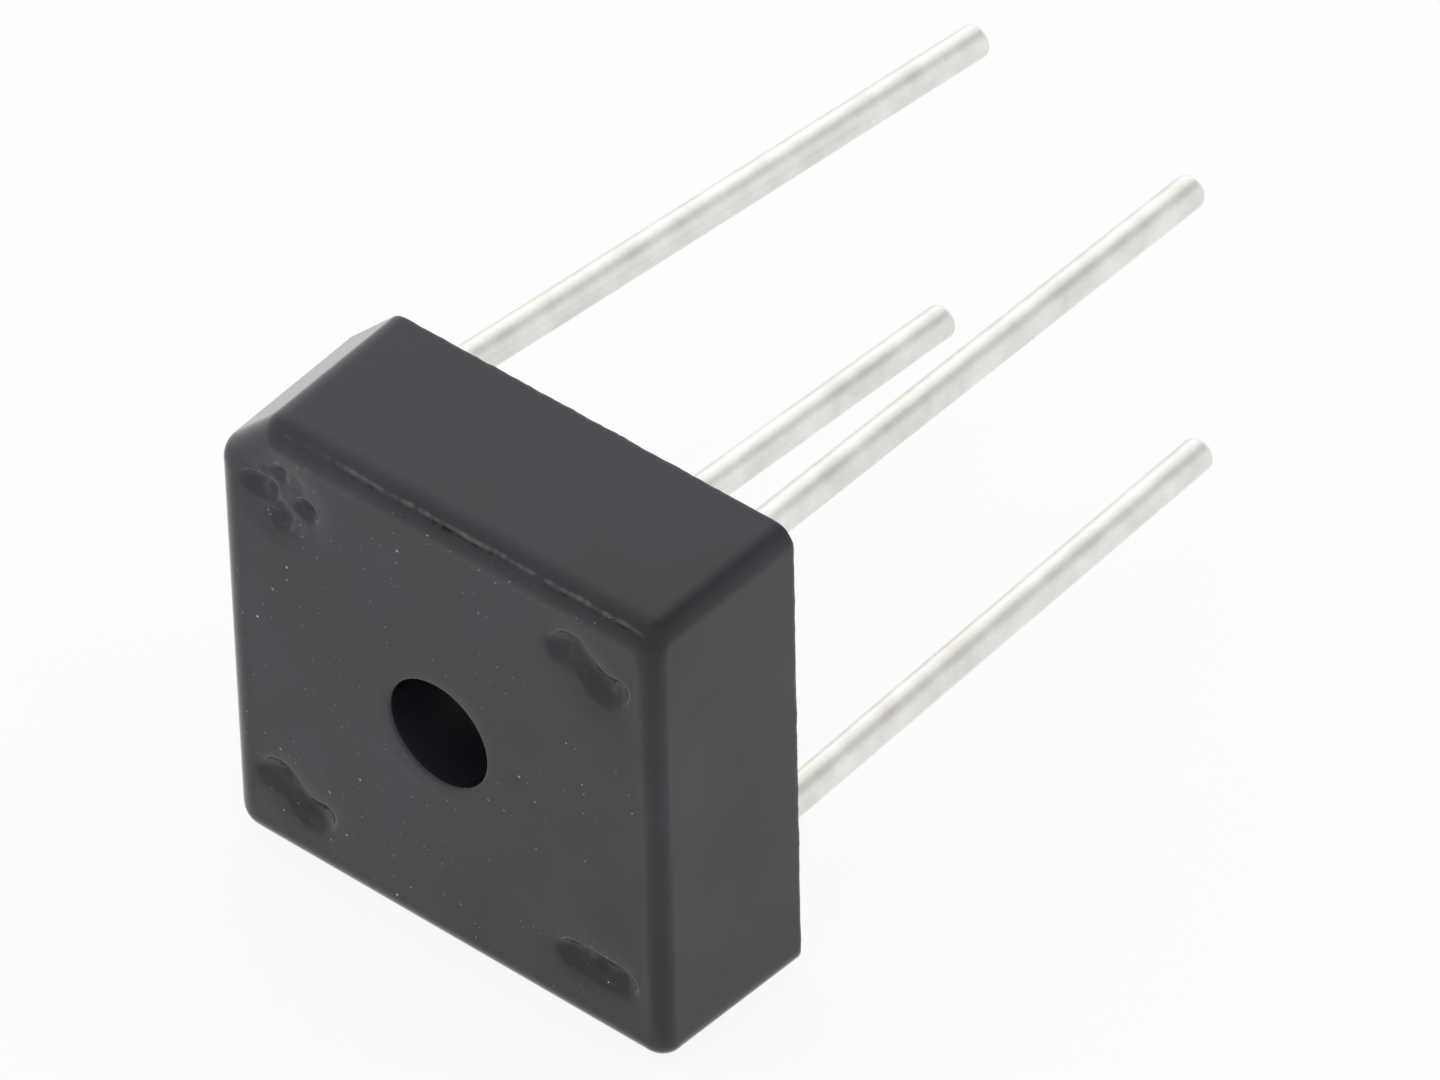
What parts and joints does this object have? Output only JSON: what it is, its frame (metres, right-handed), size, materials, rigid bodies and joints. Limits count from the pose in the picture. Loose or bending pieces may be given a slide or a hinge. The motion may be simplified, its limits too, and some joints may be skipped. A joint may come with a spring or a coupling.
{
  "type": "bridge rectifier",
  "caption": "Square moulded bridge rectifier with a central screw hole, a bevelled positive corner, sunk polarity marks and long wire leads on its rear side.",
  "frame": {"origin": "centre of the screw hole on the flat mounting face", "axes": "-Y out of the mounting face, +Y along the wire leads, +Z towards the side between the plus and the upper AC leads, +X from the plus lead towards the upper AC lead; the case stands on one of its narrow sides"},
  "size_m": [0.019, 0.0322, 0.019],
  "materials": {
    "case_plastic": "moulded thermosetting plastic, matte, dark grey with a faint purple tint",
    "potting_resin": "poured epoxy resin, black, slightly glossy",
    "copper": "bare rolled copper",
    "tinned_wire": "tin-plated copper wire, satin",
    "solder": "soft solder, dull grey",
    "silicon": "glass-passivated silicon, dark grey"
  },
  "bodies": {
    "root": {"case": "case_plastic", "resin": "potting_resin", "heat_spreader": "copper", "lead_plus": "tinned_wire", "lead_ac_upper": "tinned_wire", "lead_ac_lower": "tinned_wire", "lead_minus": "tinned_wire", "strap_plus": "copper", "strap_ac_upper": "copper", "strap_ac_lower": "copper", "strap_minus": "copper", "lead_solder_plus": "solder", "lead_solder_ac_upper": "solder", "lead_solder_ac_lower": "solder", "lead_solder_minus": "solder", "die_right": "silicon", "die_top": "silicon", "die_left": "silicon", "die_bottom": "silicon", "front_solder_right": "solder", "front_solder_top": "solder", "front_solder_left": "solder", "front_solder_bottom": "solder", "rear_solder_right": "solder", "rear_solder_top": "solder", "rear_solder_left": "solder", "rear_solder_bottom": "solder"}
  },
  "joints": []
}
